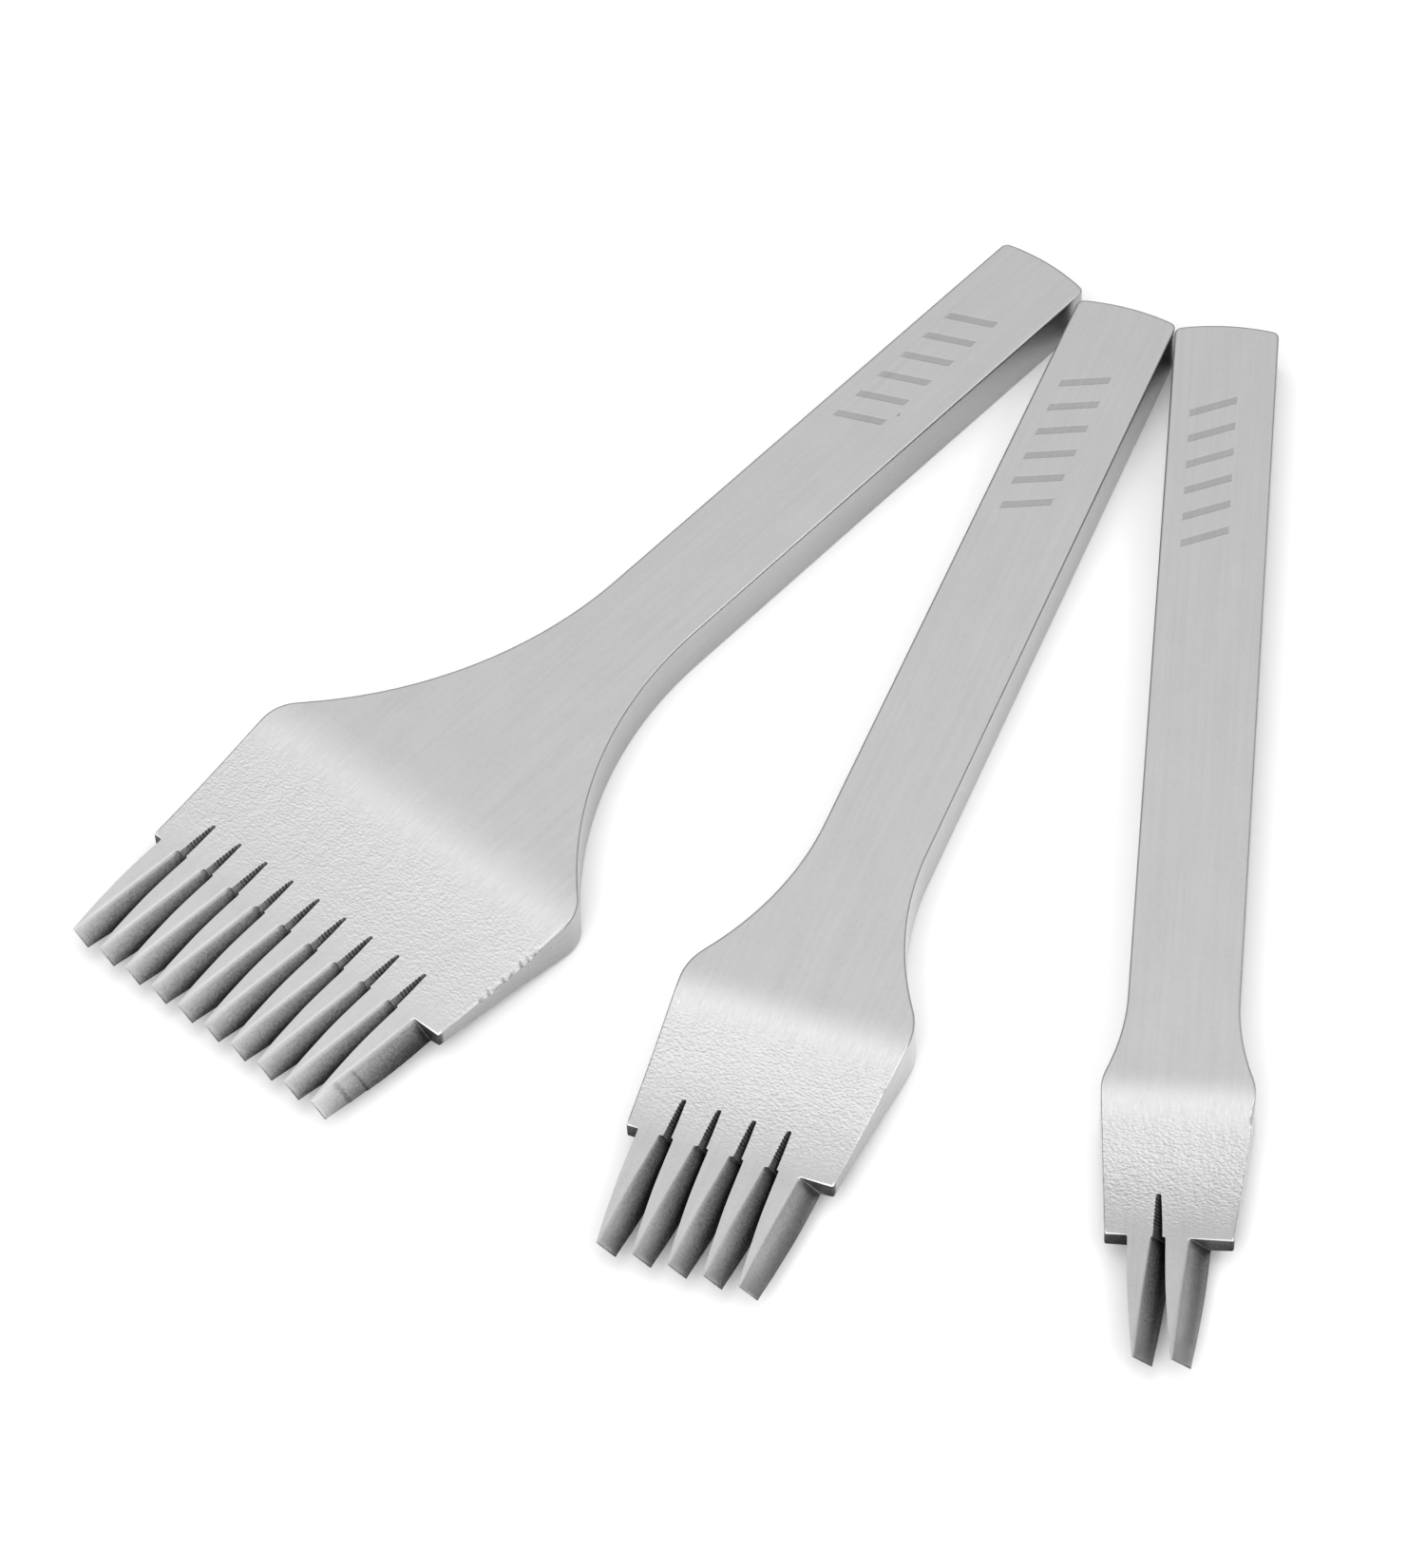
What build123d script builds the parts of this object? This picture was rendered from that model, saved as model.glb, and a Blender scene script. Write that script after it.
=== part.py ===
from build123d import *
from math import cos, radians, sin, tan
import os

os.makedirs("parts", exist_ok=True)

# A set of three flat steel pricking irons, for marking and piercing a line of
# slanted stitch holes in leather. Each iron is one piece of steel: a handle, a
# head that flares to the width of its row, a wedge ground on both faces, and a
# row of slanted chisel prongs. They lie on their flat faces, fanned out, with the
# ends that are struck side by side. Millimetres, +Z up, resting on Z = 0.

# Sizes that all three irons share, along each iron from its struck end
TOTAL_LENGTH = 97.0
STOCK_THICKNESS = 4.0
HANDLE_WIDTH = 8.2
BEVEL_START = 74.0
SHOULDER = 86.8

# Struck end: a gentle crown, with small rounded corners and broken edges
CROWN_RADIUS = 17.0
STRUCK_CORNER_RADIUS = 0.6
EDGE_BREAK = 0.2

# The ground wedge: hollow from the bevel's start to the shoulder, then nearly flat
SHOULDER_THICKNESS = 1.35
TIP_THICKNESS = 1.05

# Prongs: a slanted parallelogram in section, full in the middle and tapering to a
# chisel edge
STITCH_PITCH = 2.7
PRONG_MIDDLE = 91.9
PRONG_ROOT_WIDTH = 1.69
PRONG_TIP_WIDTH = 0.12
PRONG_ROOT_SLANT = 50.0
PRONG_MIDDLE_SLANT = 54.0
PRONG_TIP_SLANT = 52.4

# Half the height of the saw that cuts the slit between two prongs, more than the
# head is thick there
SLIT_CUT_HEIGHT = 1.3

HALF_HANDLE = HANDLE_WIDTH / 2
HALF_STOCK = STOCK_THICKNESS / 2
HALF_SHOULDER = SHOULDER_THICKNESS / 2
HALF_TIP = TIP_THICKNESS / 2
HALF_MIDDLE = (HALF_SHOULDER + HALF_TIP) / 2

# What differs: the prongs, the flare from handle to head, and the place in the fan.
# waist is where the flare leaves the handle, at flare_radius, turning to
# flare_angle; widest and shoulder are half widths of the head; bevel_angle is how
# steeply the wedge begins; middle_width is a prong's width half way along it;
# slit_widths and slit_slants are a slit's width and lean at slit_start and at the
# shoulder.
IRONS = {
    "ten_prong_iron": dict(
        prongs=10, waist=47.0, flare_radius=34.0, flare_angle=45.7,
        widest=15.62, corner_radius=3.5, shoulder=14.57,
        bevel_angle=7.6, middle_width=1.15,
        slit_start=83.4, slit_widths=(0.25, 0.60), slit_slants=(42.0, 48.0),
        struck_end=(29.60, 50.93), heading=225.99,
    ),
    "five_prong_iron": dict(
        prongs=5, waist=57.0, flare_radius=26.0, flare_angle=31.3,
        widest=9.05, corner_radius=5.0, shoulder=7.95,
        bevel_angle=8.5, middle_width=1.0,
        slit_start=83.4, slit_widths=(0.30, 0.64), slit_slants=(42.0, 48.0),
        struck_end=(35.63, 45.58), heading=246.05,
    ),
    "two_prong_iron": dict(
        prongs=2, waist=66.5, flare_radius=20.0, flare_angle=19.0,
        widest=5.62, corner_radius=4.5, shoulder=4.57,
        bevel_angle=10.0, middle_width=1.0,
        slit_start=83.15, slit_widths=(0.32, 0.70), slit_slants=(52.5, 52.0),
        struck_end=(43.13, 43.09), heading=262.01,
    ),
}


def plan_plane(iron):
    """The plane that the iron lies on: x runs from the struck end to the prongs."""
    x, y = iron["struck_end"]
    return Plane(origin=(x, y, 0)).rotated((0, 0, iron["heading"]))


def section_plane(plan, station):
    """A plane across the iron at a station along it, centred in its thickness."""
    centre = plan.from_local_coords((station, 0, HALF_STOCK))
    return Plane(origin=centre, x_dir=plan.y_dir, z_dir=plan.x_dir)


def outline(iron):
    """The blank's face, seen from above, from the crowned end to the shoulder."""
    crown_drop = CROWN_RADIUS - (CROWN_RADIUS**2 - HALF_HANDLE**2) ** 0.5
    run = iron["flare_radius"] * tan(radians(iron["flare_angle"] / 2))
    flare_corner = iron["waist"] + run
    rise = iron["widest"] - HALF_HANDLE
    head_corner = flare_corner + rise / tan(radians(iron["flare_angle"]))
    with BuildSketch() as face:
        with BuildLine():
            side = FilletPolyline(
                (crown_drop, HALF_HANDLE),
                (flare_corner, HALF_HANDLE),
                (head_corner, iron["widest"]),
                (SHOULDER, iron["shoulder"]),
                radius=[iron["flare_radius"], iron["corner_radius"]],
            )
            mirror(side, about=Plane.XZ)
            RadiusArc((crown_drop, -HALF_HANDLE), (crown_drop, HALF_HANDLE), CROWN_RADIUS)
            Line((SHOULDER, iron["shoulder"]), (SHOULDER, -iron["shoulder"]))
        make_face()
        struck_corners = face.vertices().group_by(Axis.X)[0]
        fillet(struck_corners, STRUCK_CORNER_RADIUS)
    return face.sketch


def wedge_waste(iron):
    """What grinding takes off above the mid plane, seen from the side."""
    above = HALF_STOCK + 1
    steepness = radians(iron["bevel_angle"])
    with BuildSketch() as waste:
        with BuildLine():
            hollow = TangentArc(
                (BEVEL_START, HALF_STOCK),
                (SHOULDER, HALF_SHOULDER),
                tangent=(cos(steepness), -sin(steepness)),
            )
            Polyline(hollow @ 1, (SHOULDER, above), (BEVEL_START, above), hollow @ 0)
        make_face()
    return waste.sketch


def slanted_section(centre, half_height, width, slant):
    """A parallelogram leaning by slant, level above and below, in a section plane."""
    lean = half_height * tan(radians(slant))
    left = centre - width / 2
    right = centre + width / 2
    return Polygon(
        (left + lean, -half_height),
        (right + lean, -half_height),
        (right - lean, half_height),
        (left - lean, half_height),
        align=None,
    )


def make_iron(name, iron):
    plan = plan_plane(iron)
    mid_height = plan.from_local_coords((0, 0, HALF_STOCK))
    side = Plane(origin=mid_height, x_dir=plan.x_dir, z_dir=-plan.y_dir)
    blank_face = outline(iron)
    waste_above = wedge_waste(iron)
    first_prong = -(iron["prongs"] - 1) / 2 * STITCH_PITCH
    slit_start_width, slit_end_width = iron["slit_widths"]
    slit_start_slant, slit_end_slant = iron["slit_slants"]

    with BuildPart() as tool:
        # Blank, with its edges broken as far as the bevel
        with BuildSketch(plan):
            add(blank_face)
        extrude(amount=STOCK_THICKNESS)
        rims = tool.faces().filter_by(Axis.Z).edges()
        broken = rims.filter_by(lambda edge: plan.to_local_coords(edge.center()).X < BEVEL_START)
        fillet(broken, EDGE_BREAK)

        # Wedge on both faces
        with BuildSketch(side):
            add(waste_above)
            mirror(about=Plane.XZ)
        extrude(amount=2 * iron["widest"], both=True, mode=Mode.SUBTRACT)

        # Slits between the prongs, cut into the head
        for gap in range(iron["prongs"] - 1):
            centre = first_prong + (gap + 0.5) * STITCH_PITCH
            with BuildSketch(section_plane(plan, iron["slit_start"])):
                slanted_section(centre, SLIT_CUT_HEIGHT, slit_start_width, slit_start_slant)
            with BuildSketch(section_plane(plan, SHOULDER)):
                slanted_section(centre, SLIT_CUT_HEIGHT, slit_end_width, slit_end_slant)
            loft(ruled=True, mode=Mode.SUBTRACT)

        # Prongs
        for prong in range(iron["prongs"]):
            centre = first_prong + prong * STITCH_PITCH
            with BuildSketch(section_plane(plan, SHOULDER)):
                slanted_section(centre, HALF_SHOULDER, PRONG_ROOT_WIDTH, PRONG_ROOT_SLANT)
            with BuildSketch(section_plane(plan, PRONG_MIDDLE)):
                slanted_section(centre, HALF_MIDDLE, iron["middle_width"], PRONG_MIDDLE_SLANT)
            with BuildSketch(section_plane(plan, TOTAL_LENGTH)):
                slanted_section(centre, HALF_TIP, PRONG_TIP_WIDTH, PRONG_TIP_SLANT)
            loft(ruled=True)

    tool.part.label = name
    export_step(tool.part, f"parts/{name}.step")


for name, iron in IRONS.items():
    make_iron(name, iron)
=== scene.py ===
import math

import bpy
import numpy as np
from mathutils import Matrix, Vector, kdtree, noise
from mathutils.geometry import delaunay_2d_cdt


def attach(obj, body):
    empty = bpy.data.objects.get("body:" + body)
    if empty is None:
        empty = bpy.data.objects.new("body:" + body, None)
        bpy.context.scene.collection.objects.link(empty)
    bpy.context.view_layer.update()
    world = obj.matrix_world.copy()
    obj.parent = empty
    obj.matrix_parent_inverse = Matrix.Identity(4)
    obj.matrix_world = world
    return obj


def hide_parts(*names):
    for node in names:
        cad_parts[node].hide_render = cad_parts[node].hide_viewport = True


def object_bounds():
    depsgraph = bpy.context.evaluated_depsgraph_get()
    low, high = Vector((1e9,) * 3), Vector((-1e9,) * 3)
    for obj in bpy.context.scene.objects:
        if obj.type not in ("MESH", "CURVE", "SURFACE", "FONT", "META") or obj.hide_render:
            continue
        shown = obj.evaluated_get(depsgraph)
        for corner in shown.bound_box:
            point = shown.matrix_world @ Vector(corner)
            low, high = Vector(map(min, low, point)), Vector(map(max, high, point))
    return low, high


# A set of three flat steel pricking irons. Each iron replaces its CAD node with one
# dense steel piece, made in the iron's own frame: s along the iron from its struck
# end, t across it, z up from the middle of its thickness, all in millimetres.

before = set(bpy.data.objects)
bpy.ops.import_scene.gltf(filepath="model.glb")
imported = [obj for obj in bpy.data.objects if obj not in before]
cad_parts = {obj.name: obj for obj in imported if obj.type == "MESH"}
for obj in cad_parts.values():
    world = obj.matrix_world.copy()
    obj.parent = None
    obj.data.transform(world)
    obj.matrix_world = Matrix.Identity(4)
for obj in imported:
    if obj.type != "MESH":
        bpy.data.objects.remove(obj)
cad_low, cad_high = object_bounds()

MM = 0.001

# Sizes that all three irons share, the same as the CAD's
TOTAL_LENGTH = 97.0
HALF_STOCK = 2.0
HALF_HANDLE = 4.1
CROWN_RADIUS = 17.0
STRUCK_CORNER_SETBACK = 0.58
SHOULDER = 86.8
HALF_SHOULDER = 0.675
HALF_TIP = 0.525
STITCH_PITCH = 2.7
PRONG_TIP_WIDTH = 0.12
PRONG_ROOT_SLANT = 50.0
PRONG_MIDDLE_SLANT = 54.0
PRONG_TIP_SLANT = 52.4

# How far the edges are broken. The head's edges are crisper than the handle's from
# HEAD_EDGE_FULL on, and its +t edge is worn wider than it is deep. A prong has an open
# edge, where its section is blunt, and a keen one: both get smaller at its root and tip.
HANDLE_EDGE = 0.2
HEAD_EDGE = 0.12
HEAD_EDGE_START = 73.5
HEAD_EDGE_FULL = 75.5
WORN_EDGE_START = 74.0
WORN_EDGE_REACH = 1.7
KNOCK_DROP = 1.2
OPEN_PRONG_EDGE = 0.20
KEEN_PRONG_EDGE = 0.04
ROOT_EDGES = (0.05, 0.03)
TIP_EDGES = (0.014, 0.012)
SLIT_EDGE = 0.03
SLIT_MOUTH_EDGE = 0.014
ROLL_STEPS = 3

# How far from a corner its rounding in plan begins
SHOULDER_ROUNDING = 0.17
ROOT_ROUNDING = 0.09
TIP_ROUNDING = 0.035
SLIT_END_ROUNDING = 0.15

# Points each side of the crown's middle. The corner's rounding takes up the rest.
CROWN_POINTS = 12
CROWN_PARTS = 15

# Broad waves under the peened skin: how high, and how many to a millimetre
WAVE_HEIGHT = 0.006
WAVES_PER_MM = 1.3

# Cut faces. A slit's darkness is partly its cut finish and partly painted shade in the
# narrow slit; the corner value is a painted highlight on the rolled top edges at the
# shoulders and the outer prong roots.
FLANK_BULGE = 0.12
SAW_TOOTH_PITCH = 0.3
SAW_TOOTH_DEPTH = 0.08
SLIT_DARKNESS = 0.72
SHOULDER_DARKNESS = 1.05
TIP_DARKNESS = 0.45
CORNER_PAINTED_HIGHLIGHT = 0.9

# How far down a wall each of its inner rings lies
WALL_DEPTHS = (0.05, 0.2, 0.35, 0.5, 0.65, 0.8, 0.95)

# Faint steps left by the cutter in the ten-prong iron's open flank: station, depth
MACHINING_STEPS = ((93.1, 0.12), (94.7, 0.12))

# Points inside a face: from one station to another, how far apart. Coarse on the
# handle, fine on the wedge.
GRID_BANDS = ((1.0, 70.5, 0.9), (70.5, 73.2, 0.5), (73.2, 86.6, 0.3), (86.6, 96.9, 0.4))

# Painted shade down a plain wall, against its own darkness: at its top edge, more per
# share of its depth, and more per share squared
PLAIN_WALL_SHADE_BY_DEPTH = (0.8, 0.8, 0.0)

# What differs between the irons.
# Shape: waist is where the flare leaves the handle, at flare_radius, turning to
# flare_angle. widest and shoulder are half widths of the head. hollow is how steeply
# the wedge falls at each station, against its steepest. A prong narrows from
# root_width, the later the greater its fullness. slit_widths and slit_slants are a
# slit's width and lean at slit_start and at the shoulder. chips are knocks in the
# head's +t edge: station, length along the edge, depth.
# Finish: side_cut is how dark the side is at each station, partly a
# duller finish and partly painted shade, and painted light where it is negative.
# flank_cut is how dark a prong's flank is at its root and tip, partly
# its cut finish and partly painted shade, deepest at the root, and painted light where it
# is negative; flank_fade is how late it lightens, and flank_shade_by_depth, painted shade
# down the flank, works as PLAIN_WALL_SHADE_BY_DEPTH does. The open flank is the last
# prong's +t one and gets less painted shade. peening is how deep the wedge's dents are,
# edge_shine how bright the painted highlight along the head's +t edge is, and
# prong_tone how much lighter than the head the prongs are.
IRONS = {
    "ten_prong": dict(
        node="ten_prong_iron", struck_end=(29.60, 50.93), heading=225.99,
        prongs=10, waist=47.0, flare_radius=34.0, flare_angle=45.7,
        widest=15.62, corner_radius=3.5, shoulder=14.57,
        hollow=((70.2, 0.0), (74.4, 1.0), (78.0, 0.8), (82.0, 0.55), (88.0, 0.0)),
        root_width=1.61, fullness=1.6,
        slit_start=83.4, slit_widths=(0.25, 0.70), slit_slants=(42.0, 48.0),
        chips=(
            (76.9, 0.7, 0.10), (77.6, 0.9, 0.20), (78.2, 0.7, 0.24), (79.1, 1.4, 0.13),
            (80.0, 0.7, 0.18), (80.9, 0.6, 0.09), (81.5, 0.8, 0.20), (82.2, 1.0, 0.16),
        ),
        side_cut=(
            (4, 0.04), (8, 0.06), (20, 0.14), (36, 0.1),
            (60, 0.1), (68, 0.02), (73, 0.1), (77, 0.2),
        ),
        flank_cut=(1.13, 0.27), flank_fade=1.6, flank_shade_by_depth=(0.22, 1.6, 1.5),
        open_flank_cut=(0.85, 0.10), open_flank_shade_by_depth=(0.35, 1.7, 0.0),
        peening=0.75, edge_shine=0.25, prong_tone=0.02, seed=11,
    ),
    "five_prong": dict(
        node="five_prong_iron", struck_end=(35.63, 45.58), heading=246.05,
        prongs=5, waist=57.0, flare_radius=26.0, flare_angle=31.3,
        widest=9.05, corner_radius=5.0, shoulder=7.95,
        hollow=((72.4, 0.0), (75.4, 1.0), (80.0, 0.75), (83.5, 0.4), (88.0, 0.0)),
        root_width=1.61, fullness=1.25,
        slit_start=83.4, slit_widths=(0.30, 0.64), slit_slants=(42.0, 48.0),
        chips=(),
        side_cut=(
            (4, 0.02), (8, 0.03), (20, 0.08), (36, 0.06),
            (56, 0.03), (66, -0.2), (73, -0.1), (77, 0.12),
        ),
        flank_cut=(1.10, 0.20), flank_fade=1.0, flank_shade_by_depth=(0.50, 1.7, 0.8),
        open_flank_cut=(0.50, 0.26), open_flank_shade_by_depth=(0.9, 0.15, 0.0),
        peening=1.0, edge_shine=0.2, prong_tone=-0.035, seed=23,
    ),
    "two_prong": dict(
        node="two_prong_iron", struck_end=(43.13, 43.09), heading=262.01,
        prongs=2, waist=66.5, flare_radius=20.0, flare_angle=19.0,
        widest=5.62, corner_radius=4.5, shoulder=4.57,
        hollow=((73.4, 0.0), (76.0, 1.0), (80.0, 0.6), (83.0, 0.2), (86.0, 0.0), (88.0, 0.0)),
        root_width=1.69, fullness=1.19,
        slit_start=83.15, slit_widths=(0.32, 0.70), slit_slants=(52.5, 52.0),
        chips=((75.8, 0.9, 0.06), (76.6, 1.0, 0.09)),
        side_cut=(
            (4, 0.02), (8, 0.03), (20, 0.08), (36, 0.1),
            (60, 0.08), (68, 0.0), (73, -0.05), (77, -0.1),
        ),
        flank_cut=(1.45, 0.08), flank_fade=1.0, flank_shade_by_depth=(0.40, 1.7, 0.0),
        open_flank_cut=(0.62, -0.15), open_flank_shade_by_depth=(0.35, 1.25, 0.0),
        peening=1.35, edge_shine=0.2, prong_tone=-0.075, seed=37,
    ),
}

# Where the wedge's height is worked out, every 0.05 mm
STATIONS = np.linspace(0, TOTAL_LENGTH, 1941)


def smooth_step(low, high, x):
    k = min(1.0, max(0.0, (x - low) / (high - low)))
    return k * k * (3 - 2 * k)


def mix(pair, share):
    return pair[0] + share * (pair[1] - pair[0])


def curve_point(start, corner, end, share):
    """A point on the curve from start to end that the corner pulls towards itself."""
    left = 1 - share
    return start * left**2 + corner * 2 * share * left + end * share * share


def wedge_profile(iron):
    """Half the thickness at every station: the wedge is steepest just past its soft
    crease and flattens into the prongs."""
    prong_slope = (HALF_SHOULDER - HALF_TIP) / (TOTAL_LENGTH - SHOULDER)
    stations, shares = zip(*iron["hollow"])
    hollow = np.interp(STATIONS, stations, shares)
    step = STATIONS[1] - STATIONS[0]
    fixed = np.where(STATIONS > stations[-1], prong_slope, 0.0)
    drop = HALF_STOCK - HALF_TIP - fixed.sum() * step
    slope = fixed + hollow * drop / (hollow.sum() * step)
    fallen = np.cumsum((slope[1:] + slope[:-1]) / 2) * step
    return HALF_STOCK - np.concatenate([[0.0], fallen])


def half_height(s, iron):
    return float(np.interp(s, STATIONS, iron["profile"]))


def peened(s, t, side, seed):
    """Height of the broad waves under the wedge's peened skin."""
    reach = smooth_step(74.8, 79.0, s) * (1 - 0.85 * smooth_step(82.0, 85.5, s))
    if reach <= 0:
        return 0.0
    place = Vector((s * WAVES_PER_MM, t * WAVES_PER_MM, (seed + 40 * side) * 7.31))
    return reach * WAVE_HEIGHT * noise.noise(place)


def on_face(s, t, side, iron):
    """The point at s, t of the top face, side 1, or of the bottom face, side -1."""
    height = half_height(s, iron) + peened(s, t, side, iron["seed"])
    return Vector((s, t, side * height))


def fillet_points(before, corner, after, radius, steps):
    """Points on the arc of that radius that rounds the corner."""
    to_before = (Vector(before) - Vector(corner)).normalized()
    to_after = (Vector(after) - Vector(corner)).normalized()
    half = to_before.angle(to_after) / 2
    start = Vector(corner) + to_before * (radius / math.tan(half))
    centre = Vector(corner) + (to_before + to_after).normalized() * (radius / math.sin(half))
    spoke = start - centre
    turn = math.pi - 2 * half
    if to_before.cross(to_after) > 0:
        turn = -turn
    found = []
    for i in range(steps + 1):
        a = turn * i / steps
        found.append((
            centre.x + spoke.x * math.cos(a) - spoke.y * math.sin(a),
            centre.y + spoke.x * math.sin(a) + spoke.y * math.cos(a),
        ))
    return found


def side_curve(iron):
    """The handle's and the head's side at +t, from the struck end to the shoulder."""
    angle = math.radians(iron["flare_angle"])
    run = iron["flare_radius"] * math.tan(angle / 2)
    flare = (iron["waist"] + run, HALF_HANDLE)
    rise = iron["widest"] - HALF_HANDLE
    head = (flare[0] + rise / math.tan(angle), iron["widest"])
    start = (0.0, HALF_HANDLE)
    end = (SHOULDER, iron["shoulder"])
    straight = [(s, HALF_HANDLE) for s in (4.0, 8.0, 20.0, 36.0)]
    flared = fillet_points(start, flare, head, iron["flare_radius"], 40)
    cornered = fillet_points(flare, head, end, iron["corner_radius"], 14)
    near_shoulder = Vector(end).lerp(Vector(cornered[-1]), 0.04)
    return straight + flared + cornered + [near_shoulder[:]]


def knot(top, bottom, round_by=0.0, steps=0, edge=0.1, low_edge=None, inset=0.03, gap=None,
         cut=0.0, bulge=0.0, satin=0.0, shine=0.0, depth=PLAIN_WALL_SHADE_BY_DEPTH):
    """A point of the outline: its place on the top and bottom faces, how far from it its
    rounding in plan begins and in how many steps, how far its edges are broken above and
    below, how far inside them the face's first ring lies, how far apart the points of the
    run after it are, how dark its wall is (a darker cut finish together with painted
    shade, or a painted highlight where negative), how far that bulges, how satin it is,
    how bright the painted highlight on its top edge is, and how its painted shade grows
    with depth."""
    return dict(
        top=Vector(top), bottom=Vector(bottom), round_by=round_by, steps=steps,
        edge=edge, low_edge=edge if low_edge is None else low_edge, inset=inset,
        gap=gap, cut=cut, bulge=bulge, satin=satin, shine=shine, depth=depth,
    )


def handle_knot(s, t, **kept):
    return knot((s, t), (s, t), edge=HANDLE_EDGE, inset=0.05, **kept)


def side_knot(s, t, iron, gap):
    """A point of the handle's or the head's side. The head's is satin past the crease. Its
    darkness at each station is partly a duller finish and partly painted shade, and
    painted light where it is negative.
    """
    satin = 0.4 * smooth_step(73.0, 80.0, s)
    cut = float(np.interp(s, *zip(*iron["side_cut"])))
    return handle_knot(s, t, gap=gap, cut=cut, satin=satin)


def shoulder_knot(t, gap):
    return knot(
        (SHOULDER, t), (SHOULDER, t), round_by=SHOULDER_ROUNDING, steps=4,
        edge=HEAD_EDGE, gap=gap, cut=SHOULDER_DARKNESS, shine=CORNER_PAINTED_HIGHLIGHT,
    )


def prong_width(share, iron):
    left = 1 - share ** iron["fullness"]
    return PRONG_TIP_WIDTH + (iron["root_width"] - PRONG_TIP_WIDTH) * left


def prong_slant(share):
    rise = smooth_step(0, 0.5, share) * (PRONG_MIDDLE_SLANT - PRONG_ROOT_SLANT)
    fall = smooth_step(0.75, 1, share) * (PRONG_MIDDLE_SLANT - PRONG_TIP_SLANT)
    return PRONG_ROOT_SLANT + rise - fall


def prong_flank(prong, side, iron):
    """One flank of a prong, from its root to its tip. side is -1 or 1."""
    last = iron["prongs"] - 1
    centre = (prong - last / 2) * STITCH_PITCH
    is_open = prong == last and side > 0
    outermost = is_open or (prong == 0 and side < 0)
    count = 60 if is_open else 22
    cuts = iron["open_flank_cut" if is_open else "flank_cut"]
    depth = iron["open_flank_shade_by_depth" if is_open else "flank_shade_by_depth"]
    found = []
    for share in [i / count for i in range(count)] + [0.99, 1.0]:
        s = SHOULDER + share * (TOTAL_LENGTH - SHOULDER)
        lean = half_height(s, iron) * math.tan(math.radians(prong_slant(share)))
        width = prong_width(share, iron)
        half = width / 2
        # The flank's darkness: partly its cut finish, partly painted shade, darkest at the root;
        # the open flank gets less
        cut = mix(cuts, share ** iron["flank_fade"])
        if is_open and iron["prongs"] == 10:
            for step, loss in MACHINING_STEPS:
                half *= 1 - loss * smooth_step(step, step + 0.17, s)
                cut += 0.35 * (1 - smooth_step(0, 0.2, abs(s - step)))
        shape = dict(inset=min(0.03, 0.05 * width), depth=depth)
        if share == 0:
            open_edge, keen_edge = ROOT_EDGES
            shape.update(round_by=ROOT_ROUNDING, steps=3, shine=CORNER_PAINTED_HIGHLIGHT if outermost else 0.0)
        elif share == 1:
            open_edge, keen_edge = TIP_EDGES
            cut = TIP_DARKNESS
            shape.update(round_by=TIP_ROUNDING, steps=2, inset=0.005)
        else:
            open_edge = min(OPEN_PRONG_EDGE, 0.38 * width)
            keen_edge = min(KEEN_PRONG_EDGE, 0.20 * width)
            shape.update(bulge=FLANK_BULGE * smooth_step(0, 0.08, share) * width**0.5)
        edge, low_edge = (open_edge, keen_edge) if side > 0 else (keen_edge, open_edge)
        found.append(knot(
            (s, centre + side * half - lean), (s, centre + side * half + lean),
            edge=edge, low_edge=low_edge, cut=cut, **shape,
        ))
    return found


def slit_wall(prong, side, iron):
    """One wall of the slit after a prong, from the shoulder back to where the slit starts.
    The saw has left teeth in the -t wall."""
    centre = (prong + 1 - iron["prongs"] / 2) * STITCH_PITCH
    toothed = side < 0
    count = 64 if toothed else 12
    found = []
    for i in range(count + 1):
        share = 1 - i / count
        s = mix((iron["slit_start"], SHOULDER), share)
        slant = mix(iron["slit_slants"], share)
        lean = half_height(s, iron) * math.tan(math.radians(slant))
        t = centre + side * mix(iron["slit_widths"], share) / 2
        bite = 0.5
        if toothed:
            tooth = abs(((s + 0.07 * prong) / SAW_TOOTH_PITCH) % 1 - 0.5) * 2
            bite = (1 - tooth) * smooth_step(0.02, 0.15, share)
            bite *= 1 - smooth_step(0.6, 0.9, share)
            t -= SAW_TOOTH_DEPTH * bite
        shape = dict(edge=SLIT_EDGE, low_edge=SLIT_EDGE, inset=0.01)
        if i == 0:
            shape = dict(edge=SLIT_MOUTH_EDGE, low_edge=SLIT_MOUTH_EDGE, inset=0.005)
            shape.update(round_by=ROOT_ROUNDING, steps=3)
        if i == count:
            shape.update(round_by=SLIT_END_ROUNDING, steps=4, edge=2 * SLIT_EDGE)
        # The slit's darkness is partly its cut finish and partly painted shade; hollows between
        # saw teeth get more painted shade
        found.append(knot((s, t - lean), (s, t + lean), cut=SLIT_DARKNESS + 0.6 * bite, **shape))
    return found


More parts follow.
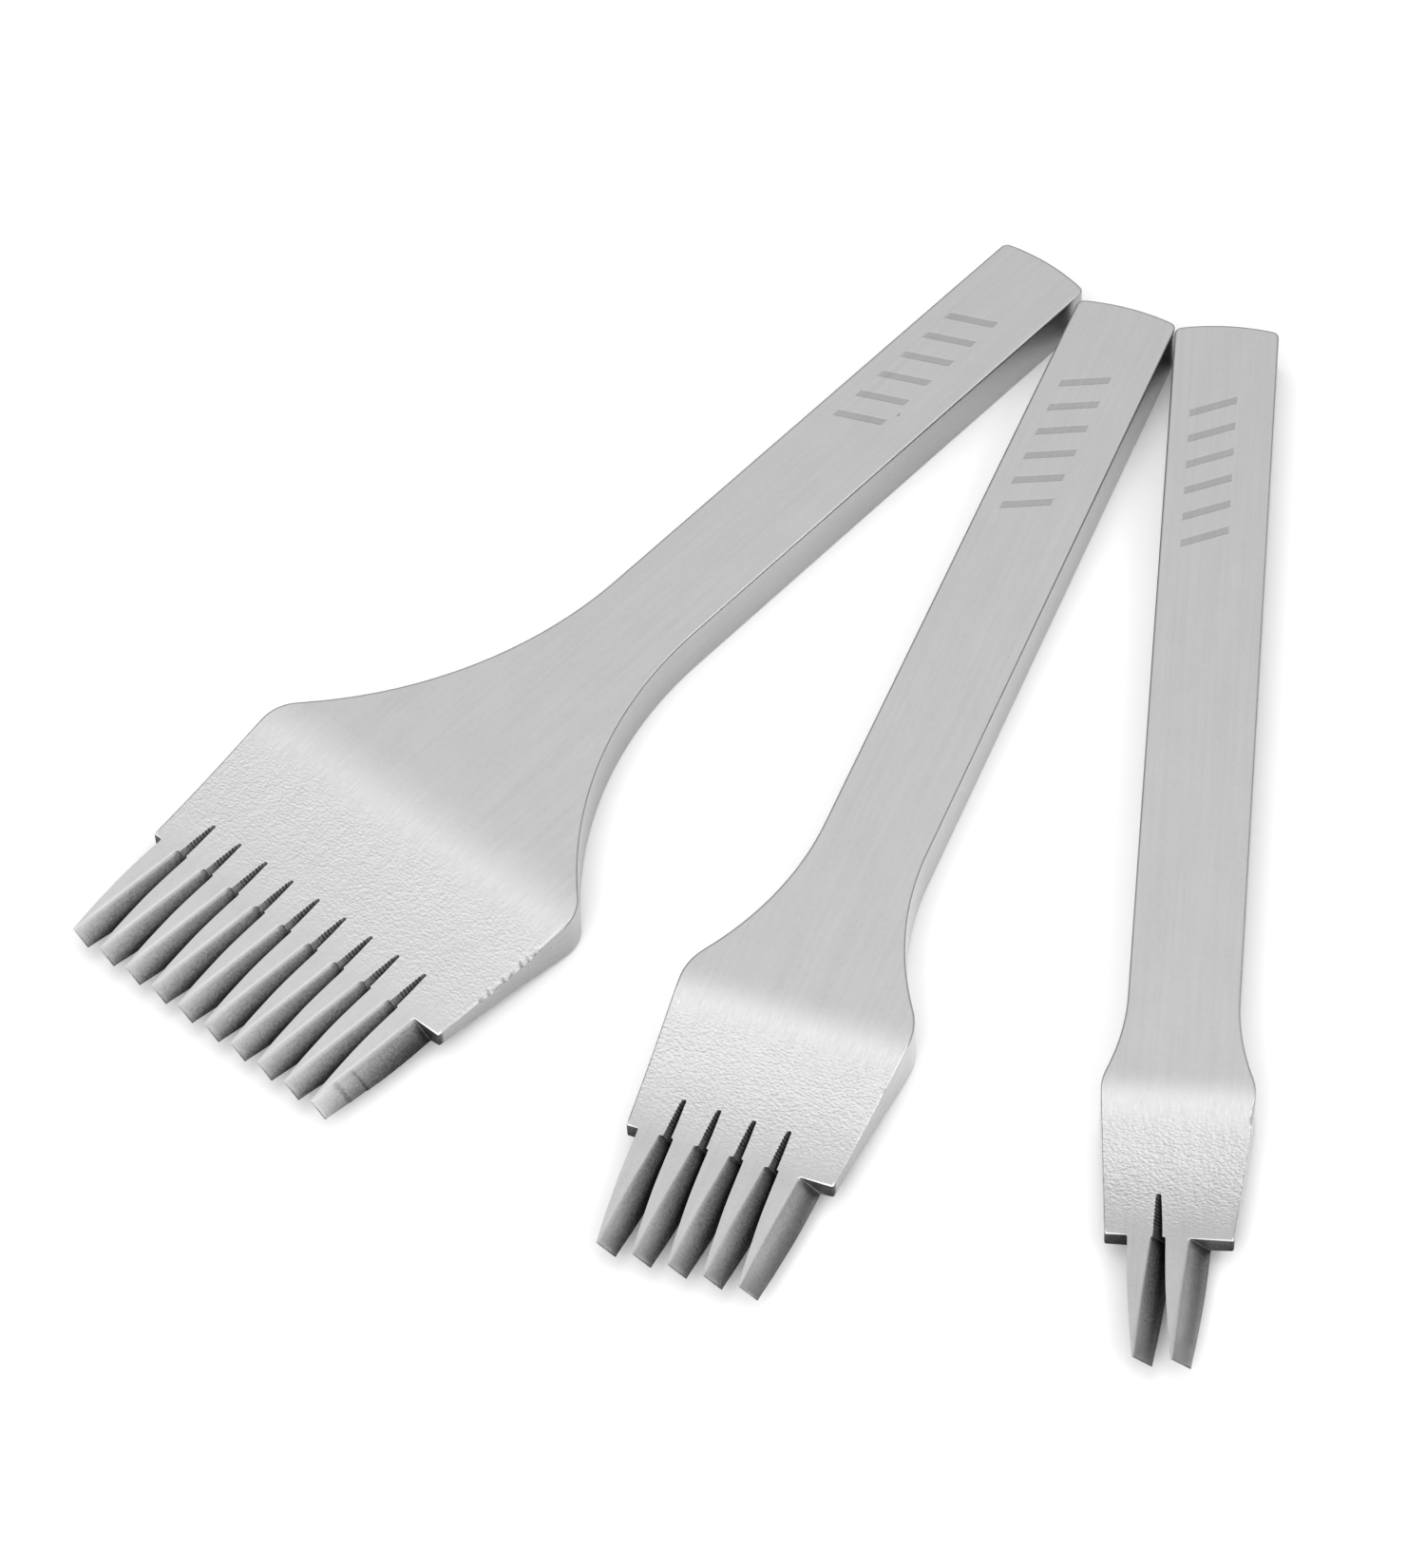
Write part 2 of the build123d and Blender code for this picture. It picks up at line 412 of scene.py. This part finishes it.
def outline_knots(iron):
    """The iron's whole outline, anticlockwise in (s, t), from the crown's middle."""
    swing = math.asin(HALF_HANDLE / CROWN_RADIUS)
    crown = []
    for i in range(-CROWN_POINTS, CROWN_POINTS + 1):
        a = swing * i / CROWN_PARTS
        crown.append((CROWN_RADIUS - CROWN_RADIUS * math.cos(a), CROWN_RADIUS * math.sin(a)))
    struck_corner = dict(round_by=STRUCK_CORNER_SETBACK, steps=8)
    drop = CROWN_RADIUS - math.sqrt(CROWN_RADIUS**2 - HALF_HANDLE**2)
    side = side_curve(iron)

    knots = [handle_knot(s, t) for s, t in reversed(crown[: CROWN_POINTS + 1])]
    knots.append(handle_knot(drop, -HALF_HANDLE, gap=0.9, **struck_corner))
    knots += [side_knot(s, -t, iron, 0.45) for s, t in side]
    knots.append(shoulder_knot(-iron["shoulder"], 0.3))
    for prong in range(iron["prongs"]):
        knots += prong_flank(prong, -1, iron)
        knots += reversed(prong_flank(prong, 1, iron))
        if prong < iron["prongs"] - 1:
            knots += slit_wall(prong, -1, iron)
            knots += reversed(slit_wall(prong, 1, iron))
    knots.append(shoulder_knot(iron["shoulder"], 0.1))
    knots += [side_knot(s, t, iron, 0.12 if s > 71 else 0.45) for s, t in reversed(side)]
    knots.append(handle_knot(drop, HALF_HANDLE, **struck_corner))
    knots += [handle_knot(s, t) for s, t in reversed(crown[CROWN_POINTS + 1 :])]
    return knots


def between(a, b, share):
    """A point on the straight run between two others."""
    mixed = dict(
        top=a["top"].lerp(b["top"], share), bottom=a["bottom"].lerp(b["bottom"], share),
        round_by=0.0, steps=0, gap=None, depth=a["depth"],
    )
    for word in ("edge", "low_edge", "inset", "cut", "bulge", "satin", "shine"):
        mixed[word] = a[word] + (b[word] - a[word]) * share
    return mixed


def rounded_corner(behind, here, ahead):
    """The points of a corner that is rounded in plan, on both faces alike. Two roundings
    share the run between them."""
    starts = {}
    ends = {}
    for face in ("top", "bottom"):
        back = behind[face] - here[face]
        on = ahead[face] - here[face]
        room_back = back.length * (0.45 if behind["steps"] else 0.9)
        room_on = on.length * (0.45 if ahead["steps"] else 0.9)
        starts[face] = here[face] + back.normalized() * min(here["round_by"], room_back)
        ends[face] = here[face] + on.normalized() * min(here["round_by"], room_on)
    made = []
    for step in range(here["steps"] + 1):
        point = dict(here, steps=0)
        for face in ("top", "bottom"):
            share = step / here["steps"]
            point[face] = curve_point(starts[face], here[face], ends[face], share)
        if step < here["steps"]:
            point["gap"] = None
        made.append(point)
    return made


def finished_outline(iron):
    """The outline with its corners rounded, its long runs filled with points, and the
    knocks in its edge."""
    knots = outline_knots(iron)
    made = []
    for behind, here, ahead in zip(knots[-1:] + knots[:-1], knots, knots[1:] + knots[:1]):
        made += rounded_corner(behind, here, ahead) if here["steps"] else [here]
    filled = []
    for here, ahead in zip(made, made[1:] + made[:1]):
        filled.append(here)
        length = (ahead["top"] - here["top"]).length
        if here["gap"] and length > 1.5 * here["gap"]:
            parts = math.ceil(length / here["gap"])
            filled += [between(here, ahead, j / parts) for j in range(1, parts)]
    for point in filled:
        point["bite"] = edge_bite(iron, *point["top"])
    return filled


def inward(outline):
    """The mitred inward direction at each point of an anticlockwise outline."""
    on = np.roll(outline, -1, 0) - outline
    on /= np.linalg.norm(on, axis=1)[:, None]
    normal = np.stack([-on[:, 1], on[:, 0]], 1)
    before = np.roll(normal, 1, 0)
    dot = (normal * before).sum(1)
    return (normal + before) / np.maximum(0.35, 1 + dot)[:, None]


def at_head_side(iron, t):
    """Whether t is as far out as the head's +t side."""
    return t > iron["shoulder"] - 0.1


def edge_softness(iron, s, t, base):
    """How far the edge is broken at a point: the head's is crisper than the handle's."""
    if not HEAD_EDGE_START < s < SHOULDER - 0.1 or not at_head_side(iron, abs(t)):
        return base
    return HEAD_EDGE + (base - HEAD_EDGE) * (1 - smooth_step(HEAD_EDGE_START, HEAD_EDGE_FULL, s))


def edge_bite(iron, s, t):
    """How far the head's +t top edge has been knocked back at a point."""
    if not at_head_side(iron, t):
        return 0.0
    bites = [
        depth * math.sqrt(max(0.0, 1 - abs(s - chip) / (length / 2)))
        for chip, length, depth in iron["chips"]
    ]
    return max(bites, default=0.0)


def edge_shine(iron, s, t):
    """How bright the painted highlight along the head's +t edge is at a point."""
    if not at_head_side(iron, t):
        return 0.0
    return iron["edge_shine"] * smooth_step(73.0, 75.5, s) * (1 - smooth_step(81.0, 85.0, s))


def face_ring(outline, distances, side, iron):
    """The outline moved inward by a distance at each point, on the top or bottom face."""
    moved = outline + inward(outline) * distances[:, None]
    return [on_face(s, t, side, iron) for s, t in moved]


def rolled(start, corner, end):
    """The rings between start and end that roll a wall's edge over."""
    return [
        [curve_point(a, c, b, step / ROLL_STEPS) for a, c, b in zip(start, corner, end)]
        for step in range(1, ROLL_STEPS)
    ]


def wall_rings(knots, iron):
    """Rings of points round the iron, from just inside its top edge, down its wall, to
    just inside its bottom edge."""
    tops = np.array([k["top"] for k in knots])
    bottoms = np.array([k["bottom"] for k in knots])
    soft = np.array([edge_softness(iron, *k["top"], k["edge"]) for k in knots])
    low_soft = np.array([edge_softness(iron, *k["bottom"], k["low_edge"]) for k in knots])
    inset = np.array([k["inset"] for k in knots])
    bite = np.array([k["bite"] for k in knots])
    worn = [at_head_side(iron, k["top"].y) and k["top"].x > WORN_EDGE_START for k in knots]
    reach = np.where(worn, WORN_EDGE_REACH, 1.0) * soft + bite
    drop = soft + KNOCK_DROP * bite

    top_edge = [Vector((s, t, half_height(s, iron))) for s, t in tops]
    low_edge = [Vector((s, t, -half_height(s, iron))) for s, t in bottoms]
    down = [(low - top).normalized() for top, low in zip(top_edge, low_edge)]
    top_roll = face_ring(tops, reach, 1, iron)
    low_roll = face_ring(bottoms, low_soft, -1, iron)
    wall_top = [e + d * r for e, d, r in zip(top_edge, down, drop)]
    wall_low = [e - d * r for e, d, r in zip(low_edge, down, low_soft)]

    # A deep knock is a flat facet, so the corner of its edge is on the line across it
    corners = [
        e.lerp((a + b) / 2, min(1.0, 9 * r))
        for e, a, b, r in zip(top_edge, top_roll, wall_top, bite)
    ]
    along = np.roll(tops + bottoms, -1, 0) - np.roll(tops + bottoms, 1, 0)
    outward = [d.cross(Vector((o[0], o[1], 0)).normalized()) for d, o in zip(down, along)]
    bulge = [n * k["bulge"] for n, k in zip(outward, knots)]
    walls = [
        [
            a.lerp(b, share) + swell * (4 * share * (1 - share))
            for a, b, swell in zip(wall_top, wall_low, bulge)
        ]
        for share in WALL_DEPTHS
    ]
    return [
        face_ring(tops, reach + inset, 1, iron),
        top_roll,
        *rolled(top_roll, corners, wall_top),
        wall_top,
        *walls,
        wall_low,
        *rolled(wall_low, low_edge, low_roll),
        low_roll,
        face_ring(bottoms, low_soft + inset, -1, iron),
    ]


def grid_points(iron):
    """Even rows of points over a face, with how far apart they are."""
    found = []
    for low, high, pitch in GRID_BANDS:
        rows = int((high - low) / (pitch * 0.866))
        for row in range(rows):
            s = low + (row + 0.5) * (high - low) / rows
            half = HALF_HANDLE if s < iron["waist"] else iron["widest"] + 0.5
            for column in range(int(2 * half / pitch) + 1):
                t = -half + (column + 0.5 * (row % 2)) * pitch
                found.append((s, t, pitch))
    return found


def fill_face(ring, side, iron, verts, faces):
    """Fills the top or bottom face inside its ring with even triangles."""
    loop = [verts[i] for i in ring]
    samples = []
    for a, b in zip(loop, loop[1:] + loop[:1]):
        parts = max(1, math.ceil((b - a).length / 0.15))
        samples += [a.lerp(b, j / parts).to_2d() for j in range(parts)]
    tree = kdtree.KDTree(len(samples))
    for i, p in enumerate(samples):
        tree.insert((p.x, p.y, 0), i)
    tree.balance()
    inside = [
        Vector((s, t)) for s, t, pitch in grid_points(iron)
        if tree.find((s, t, 0))[2] > 0.6 * pitch
    ]
    flat = [v.to_2d() for v in loop] + inside
    edges = [(i, (i + 1) % len(loop)) for i in range(len(loop))]
    found, _, tris, origins, _, _ = delaunay_2d_cdt(flat, edges, [], 1, 1e-7)
    used = {i for tri in tris for i in tri}
    place = {}
    for i, p in enumerate(found):
        if i not in used:
            continue
        if origins[i] and origins[i][0] < len(loop):
            place[i] = ring[origins[i][0]]
        else:
            place[i] = len(verts)
            verts.append(on_face(p.x, p.y, side, iron))
    for tri in tris:
        a, b, c = (place[i] for i in tri)
        faces.append((a, b, c) if side > 0 else (c, b, a))


def finish_values(knots, rings, iron, total):
    """How dark and how satin each point of the mesh is. Walls darken from the top edge down
    with painted shade, some edges get a painted highlight, and the knocks in the edge are
    half as dark as the wall."""
    cut = np.zeros(total, np.float32)
    satin = np.zeros(total, np.float32)
    walls = rings[ROLL_STEPS:-ROLL_STEPS]
    # Painted shade: each wall ring is darker the deeper down the wall it lies
    for i, ring in enumerate(walls):
        share = i / (len(walls) - 1)
        powers = np.array([1, share, share**2])
        cut[list(ring)] = [k["cut"] * float(np.dot(k["depth"], powers)) for k in knots]
        satin[list(ring)] = [k["satin"] for k in knots]
    # Painted highlights lighten the roll rings of some edges; knocked rings take half the wall's
    # darkness
    for ring, share, knocked in zip(rings[1:], (0.35, 1.0, 0.5), (False, True, True)):
        for i, k in zip(ring, knots):
            highlight_by = max(k["shine"], edge_shine(iron, *k["top"]))
            if knocked and k["bite"] > 0.05:
                cut[i] = 0.5 * k["cut"]
                satin[i] = 0.8
            elif highlight_by:
                cut[i] = -0.38 * highlight_by * share
                satin[i] = highlight_by * share
    return cut, satin


def build_mesh(name, iron):
    knots = finished_outline(iron)
    count = len(knots)
    shapes = wall_rings(knots, iron)
    rings = [range(i * count, (i + 1) * count) for i in range(len(shapes))]
    verts = [point for shape in shapes for point in shape]
    faces = []
    for upper, lower in zip(rings, rings[1:]):
        for i in range(count):
            j = (i + 1) % count
            faces.append((upper[i], lower[i], lower[j], upper[j]))
    fill_face(rings[0], 1, iron, verts, faces)
    fill_face(rings[-1], -1, iron, verts, faces)
    cut, satin = finish_values(knots, rings, iron, len(verts))

    x, y = iron["struck_end"]
    turn = math.radians(iron["heading"])
    cos, sin = math.cos(turn), math.sin(turn)
    placed = []
    for v in verts:
        across = x + v.x * cos - v.y * sin
        along = y + v.x * sin + v.y * cos
        placed.append((across * MM, along * MM, (v.z + HALF_STOCK) * MM))
    mesh = bpy.data.meshes.new(f"{name}_steel")
    mesh.from_pydata(placed, [], faces)
    local = mesh.attributes.new("local", "FLOAT_VECTOR", "POINT")
    local.data.foreach_set("vector", np.array([v[:] for v in verts], np.float32).ravel())
    for word, values in (("cut", cut), ("satin", satin)):
        mesh.attributes.new(word, "FLOAT", "POINT").data.foreach_set("value", values)
    mesh.shade_smooth()
    return mesh


class Nodes:
    """Short ways to add shader nodes to a material."""

    def __init__(self, material):
        material.use_nodes = True
        self.tree = material.node_tree
        self.shader = self.tree.nodes["Principled BSDF"]

    def put(self, socket, value):
        if isinstance(value, bpy.types.NodeSocket):
            self.tree.links.new(value, socket)
        else:
            socket.default_value = value

    def math(self, operation, a, b=0.0, c=0.0):
        node = self.tree.nodes.new("ShaderNodeMath")
        node.operation = operation
        for socket, value in zip(node.inputs, (a, b, c)):
            self.put(socket, value)
        return node.outputs[0]

    def times(self, a, b):
        return self.math("MULTIPLY", a, b)

    def add(self, total, part, weight):
        return self.math("MULTIPLY_ADD", part, weight, total)

    def vary(self, total, part, weight):
        """total plus weight times how far a noise lies above its middle."""
        return self.add(total, self.math("SUBTRACT", part, 0.5), weight)

    def ramp(self, value, low, high, start=0.0, end=1.0):
        node = self.tree.nodes.new("ShaderNodeMapRange")
        node.interpolation_type = "SMOOTHSTEP"
        for socket, number in zip(node.inputs, (value, low, high, start, end)):
            self.put(socket, number)
        return node.outputs[0]

    def attribute(self, name):
        node = self.tree.nodes.new("ShaderNodeAttribute")
        node.attribute_name = name
        return node

    def split(self, vector):
        node = self.tree.nodes.new("ShaderNodeSeparateXYZ")
        self.put(node.inputs[0], vector)
        return node.outputs

    def stretch(self, vector, scale, shift):
        node = self.tree.nodes.new("ShaderNodeMapping")
        node.inputs["Scale"].default_value = scale
        node.inputs["Location"].default_value = (shift, shift * 0.7, 0)
        self.put(node.inputs["Vector"], vector)
        return node.outputs[0]

    def noise(self, vector, detail, rough=0.5, scale=1.0):
        node = self.tree.nodes.new("ShaderNodeTexNoise")
        self.put(node.inputs["Vector"], vector)
        node.inputs["Scale"].default_value = scale
        node.inputs["Detail"].default_value = detail
        node.inputs["Roughness"].default_value = rough
        return node.outputs["Fac"]

    def cells(self, vector, scale, smoothness=None):
        node = self.tree.nodes.new("ShaderNodeTexVoronoi")
        if smoothness is not None:
            node.feature = "SMOOTH_F1"
            node.inputs["Smoothness"].default_value = smoothness
        self.put(node.inputs["Vector"], vector)
        node.inputs["Scale"].default_value = scale
        return node.outputs

    def bump(self, height, depth, under=None):
        """height times depth millimetres, on top of the bump under it."""
        node = self.tree.nodes.new("ShaderNodeBump")
        node.inputs["Strength"].default_value = 1.0
        node.inputs["Distance"].default_value = depth * MM
        self.put(node.inputs["Height"], height)
        if under is not None:
            self.put(node.inputs["Normal"], under)
        return node.outputs["Normal"]


# The ground steel, how much darker a point of darkness 1 is (a darker cut finish together
# with painted shade; negative darkness paints highlights), and depths in millimetres
GROUND_TONE = 0.505
GROUND_ROUGHNESS = 0.30
CUT_AND_PAINTED_LIGHT_TONE = 0.2
DENT_DEPTH = 0.034
GRIT_DEPTH = 0.03

# A row of etched dashes across the handle, at the stitch pitch, on the top face only. The
# half sizes say where a dash begins to fade and where it has faded out.
DASHES = 6
FIRST_DASH = 8.7
DASH_MIDDLE = -0.7
DASH_LEAN = 0.45
DASH_HALF_WIDTH = (0.33, 0.42)
DASH_HALF_LENGTH = (1.75, 1.85)


def etched_dashes(n, place):
    s, t, z = n.split(place)
    across = n.math("SUBTRACT", t, DASH_MIDDLE)
    along = n.add(s, across, DASH_LEAN)
    beat = n.math("DIVIDE", n.math("SUBTRACT", along, FIRST_DASH - STITCH_PITCH / 2), STITCH_PITCH)
    off_middle = n.math("ABSOLUTE", n.math("SUBTRACT", n.math("FRACT", beat), 0.5))
    from_row_middle = n.math("ABSOLUTE", n.math("SUBTRACT", beat, DASHES / 2))
    dash = n.ramp(n.times(off_middle, STITCH_PITCH), *DASH_HALF_WIDTH, 1.0, 0.0)
    dash = n.times(dash, n.math("LESS_THAN", from_row_middle, DASHES / 2))
    dash = n.times(dash, n.ramp(n.math("ABSOLUTE", across), *DASH_HALF_LENGTH, 1.0, 0.0))
    return n.times(dash, n.math("GREATER_THAN", z, HALF_STOCK - 0.02))


def peened_skin(n, place, wedge_start, seed):
    """The dents of the peened skin, strongest in the middle of the wedge."""
    s = n.split(place)[0]
    fade_in = n.ramp(s, wedge_start - 0.4, wedge_start + 3.2)
    fade_out = n.ramp(s, 82.5, 87.5, 1.0, 0.12)
    cloud = n.noise(n.stretch(place, (0.35, 0.35, 0.35), seed + 2), 1.0)
    dents = n.cells(n.stretch(place, (1.2, 0.9, 1.0), seed), 3.9, 0.6)["Distance"]
    ripples = n.noise(n.stretch(place, (1.25, 0.85, 1.0), seed + 1), 1.0, scale=4.6)
    strength = n.times(n.times(fade_in, fade_out), n.ramp(cloud, 0.3, 0.6, 0.8, 1.0))
    return n.times(n.add(ripples, dents, 0.7), strength)


def nicks(n, place, seed):
    """Sparse nicks left by handling: a few dark pits with painted shade in them, and fewer
    bright glints that are painted highlights.
    """
    spots = n.cells(n.stretch(place, (0.5, 1.5, 1.5), seed + 3), 0.5)
    kind = n.tree.nodes.new("ShaderNodeSeparateColor")
    n.put(kind.inputs[0], spots["Color"])
    mark = n.ramp(spots["Distance"], 0.03, 0.07, 1.0, 0.0)
    mark = n.times(mark, n.math("LESS_THAN", n.split(place)[0], SHOULDER - 1.5))
    pit = n.times(mark, n.math("LESS_THAN", kind.outputs[0], 0.03))
    glint = n.times(mark, n.math("GREATER_THAN", kind.outputs[0], 0.98))
    return pit, glint


def steel(name, iron):
    """Satin steel: grain along the iron, a peened wedge, darker gritty cut faces, painted
    shade down walls and between prongs, painted highlights along worn and corner edges,
    and a row of etched dashes near the struck end."""
    material = bpy.data.materials.new(name)
    n = Nodes(material)
    seed = iron["seed"]
    wedge_start = iron["hollow"][1][0]
    place = n.attribute("local").outputs["Vector"]
    s = n.split(place)[0]
    cut = n.attribute("cut").outputs["Fac"]
    satin = n.attribute("satin").outputs["Fac"]
    dark = n.math("MINIMUM", n.math("MAXIMUM", cut, 0.0), 1.0)
    ground = n.math("SUBTRACT", 1.0, dark)

    # Soft mottling, faint streaks along the iron and the grit of the cut faces
    mottle = n.noise(n.stretch(place, (2.2, 2.6, 2.6), seed), 2.0, 0.6)
    streak = n.noise(n.stretch(place, (0.07, 3.2, 3.2), seed + 5), 3.0, 0.6)
    cloud = n.noise(n.stretch(place, (0.25, 0.4, 0.4), seed + 9), 3.0, 0.55)
    grit = n.noise(n.stretch(place, (5.5, 5.5, 5.5), seed), 2.0, 0.6)

    # Short brush strokes where the wedge begins
    stroke = n.noise(n.stretch(place, (0.7, 6.0, 6.0), seed + 4), 1.0)
    strokes_in = n.ramp(s, wedge_start - 1.4, wedge_start)
    strokes_out = n.ramp(s, wedge_start + 1.0, wedge_start + 3.5, 1.0, 0.0)

    dents = peened_skin(n, place, wedge_start, seed)
    dash = etched_dashes(n, place)
    pit, glint = nicks(n, place, seed)

    tone = GROUND_TONE
    for part, weight in ((mottle, 0.05), (streak, 0.075), (cloud, 0.05)):
        tone = n.vary(tone, part, weight)
    strokes = n.times(n.math("SUBTRACT", stroke, 0.5), n.times(strokes_in, strokes_out))
    prongs = n.ramp(s, 80.0, SHOULDER, 0.0, iron["prong_tone"])
    tone = n.math("ADD", n.add(tone, strokes, 0.12), prongs)
    # The etched dashes are darker print; the pits get painted shade and the glints a painted
    # highlight
    for part, weight in ((dash, -0.10), (pit, -0.22), (glint, 0.12)):
        tone = n.add(tone, part, weight)
    # Darkness darkens the tone: the cut faces' finish and painted shade, and painted highlights
    # where it is negative
    tone = n.times(tone, n.math("POWER", CUT_AND_PAINTED_LIGHT_TONE, cut))
    grain = n.times(n.math("SUBTRACT", grit, 0.5), dark)
    tone = n.times(tone, n.add(1.0, grain, 1.8))
    n.put(n.shader.inputs["Base Color"], tone)
    n.put(n.shader.inputs["Metallic"], n.add(1.0, satin, -0.8))

    rough = n.vary(n.vary(GROUND_ROUGHNESS, mottle, 0.12), cloud, 0.10)
    rough = n.add(n.add(rough, dark, 0.20), dash, 0.18)
    n.put(n.shader.inputs["Roughness"], rough)

    normal = n.bump(n.times(mottle, ground), 0.004)
    normal = n.bump(n.times(dents, ground), DENT_DEPTH * iron["peening"], normal)
    normal = n.bump(n.times(grit, dark), GRIT_DEPTH, normal)
    normal = n.bump(n.math("ADD", dash, pit), -0.01, normal)
    n.put(n.shader.inputs["Normal"], normal)
    return material


def place_iron(name, iron):
    mesh = build_mesh(name, iron)
    piece = bpy.data.objects.new(f"{name}_steel", mesh)
    bpy.context.scene.collection.objects.link(piece)
    mesh.materials.append(steel(f"{name}_steel", iron))
    mesh.set_sharp_from_angle(angle=math.radians(40))
    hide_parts(iron["node"])
    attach(piece, name)


def pale_floor():
    half = 2.0
    just_below = 0.00002
    mesh = bpy.data.meshes.new("floor")
    corners = [(-half, -half, 0), (half, -half, 0), (half, half, 0), (-half, half, 0)]
    mesh.from_pydata(corners, [], [(0, 1, 2, 3)])
    floor = bpy.data.objects.new("floor", mesh)
    floor.location.z = cad_low.z - just_below
    bpy.context.scene.collection.objects.link(floor)
    paper = bpy.data.materials.new("pale_floor")
    paper.use_nodes = True
    inputs = paper.node_tree.nodes["Principled BSDF"].inputs
    inputs["Base Color"].default_value = (0.95, 0.95, 0.95, 1)
    inputs["Roughness"].default_value = 0.9
    inputs["Specular IOR Level"].default_value = 0.2
    mesh.materials.append(paper)


# The sky's brightness from the horizon, 0, to overhead, 1
SKY = (
    (0.0, 0.20), (0.30, 0.26), (0.45, 0.42), (0.60, 0.72), (0.72, 0.95), (0.84, 0.98), (1.0, 1.05),
)
SKY_STRENGTH = 1.17

# Soft square lamps that face the irons: place, size, power
LAMPS = {
    "overhead": ((-0.15, 0.09, 0.69), 0.5, 0.53),
    "front_left": ((-0.25, -0.55, 0.5), 0.4, 2.0),
    "front_right": ((0.40, -0.50, 0.52), 0.4, 0.9),
    "edge_light": ((0.56, -0.02, 0.74), 0.2, 0.45),
}


def studio_sky():
    world = bpy.data.worlds.new("studio")
    bpy.context.scene.world = world
    world.use_nodes = True
    tree = world.node_tree
    coordinate = tree.nodes.new("ShaderNodeTexCoord")
    split = tree.nodes.new("ShaderNodeSeparateXYZ")
    ramp = tree.nodes.new("ShaderNodeValToRGB")
    tree.links.new(coordinate.outputs["Generated"], split.inputs[0])
    tree.links.new(split.outputs["Z"], ramp.inputs[0])
    elements = ramp.color_ramp.elements
    for height, _ in SKY[1:-1]:
        elements.new(height)
    for element, (height, light) in zip(elements, SKY):
        element.position = height
        element.color = (light, light, light, 1)
    background = tree.nodes["Background"]
    tree.links.new(ramp.outputs[0], background.inputs[0])
    background.inputs[1].default_value = SKY_STRENGTH


def soft_lamp(name, place, size, power):
    lamp = bpy.data.lights.new(name, "AREA")
    lamp.shape = "SQUARE"
    lamp.size = size
    lamp.energy = power
    holder = bpy.data.objects.new(name, lamp)
    holder.location = place
    holder.rotation_mode = "QUATERNION"
    holder.rotation_quaternion = (-Vector(place)).to_track_quat("-Z", "Y")
    bpy.context.scene.collection.objects.link(holder)


# The camera's place in metres, how far its view is turned up from straight down and
# how far it is rolled, in degrees, and its lens and sensor in millimetres
CAMERA_PLACE = (0.00064, -0.29996, 0.37218)
CAMERA_TILT = 39.07
CAMERA_ROLL = 3.09
LENS = 146.269
SENSOR = 36.0
SHIFT = (-0.00016, 0.0030)


def photo_camera():
    """A camera at the photograph's viewing angle."""
    tilt = math.radians(CAMERA_TILT)
    roll = math.radians(CAMERA_ROLL)
    forward = Vector((0, math.sin(tilt), -math.cos(tilt)))
    level_right = Vector((1, 0, 0))
    level_up = Vector((0, math.cos(tilt), math.sin(tilt)))
    right = level_right * math.cos(roll) - level_up * math.sin(roll)
    up = level_right * math.sin(roll) + level_up * math.cos(roll)
    turned = Matrix((right, up, -forward)).transposed().to_4x4()
    data = bpy.data.cameras.new("camera")
    data.sensor_fit = "AUTO"
    data.sensor_width = SENSOR
    data.lens = LENS
    data.shift_x, data.shift_y = SHIFT
    data.clip_start = 0.01
    data.clip_end = 10
    camera = bpy.data.objects.new("camera", data)
    camera.matrix_world = Matrix.Translation(CAMERA_PLACE) @ turned
    bpy.context.scene.collection.objects.link(camera)
    bpy.context.scene.camera = camera


for name, iron in IRONS.items():
    iron["profile"] = wedge_profile(iron)
    place_iron(name, iron)
pale_floor()
studio_sky()
for name, (place, size, power) in LAMPS.items():
    soft_lamp(name, place, size, power)
photo_camera()
bpy.context.scene.view_settings.view_transform = "Standard"
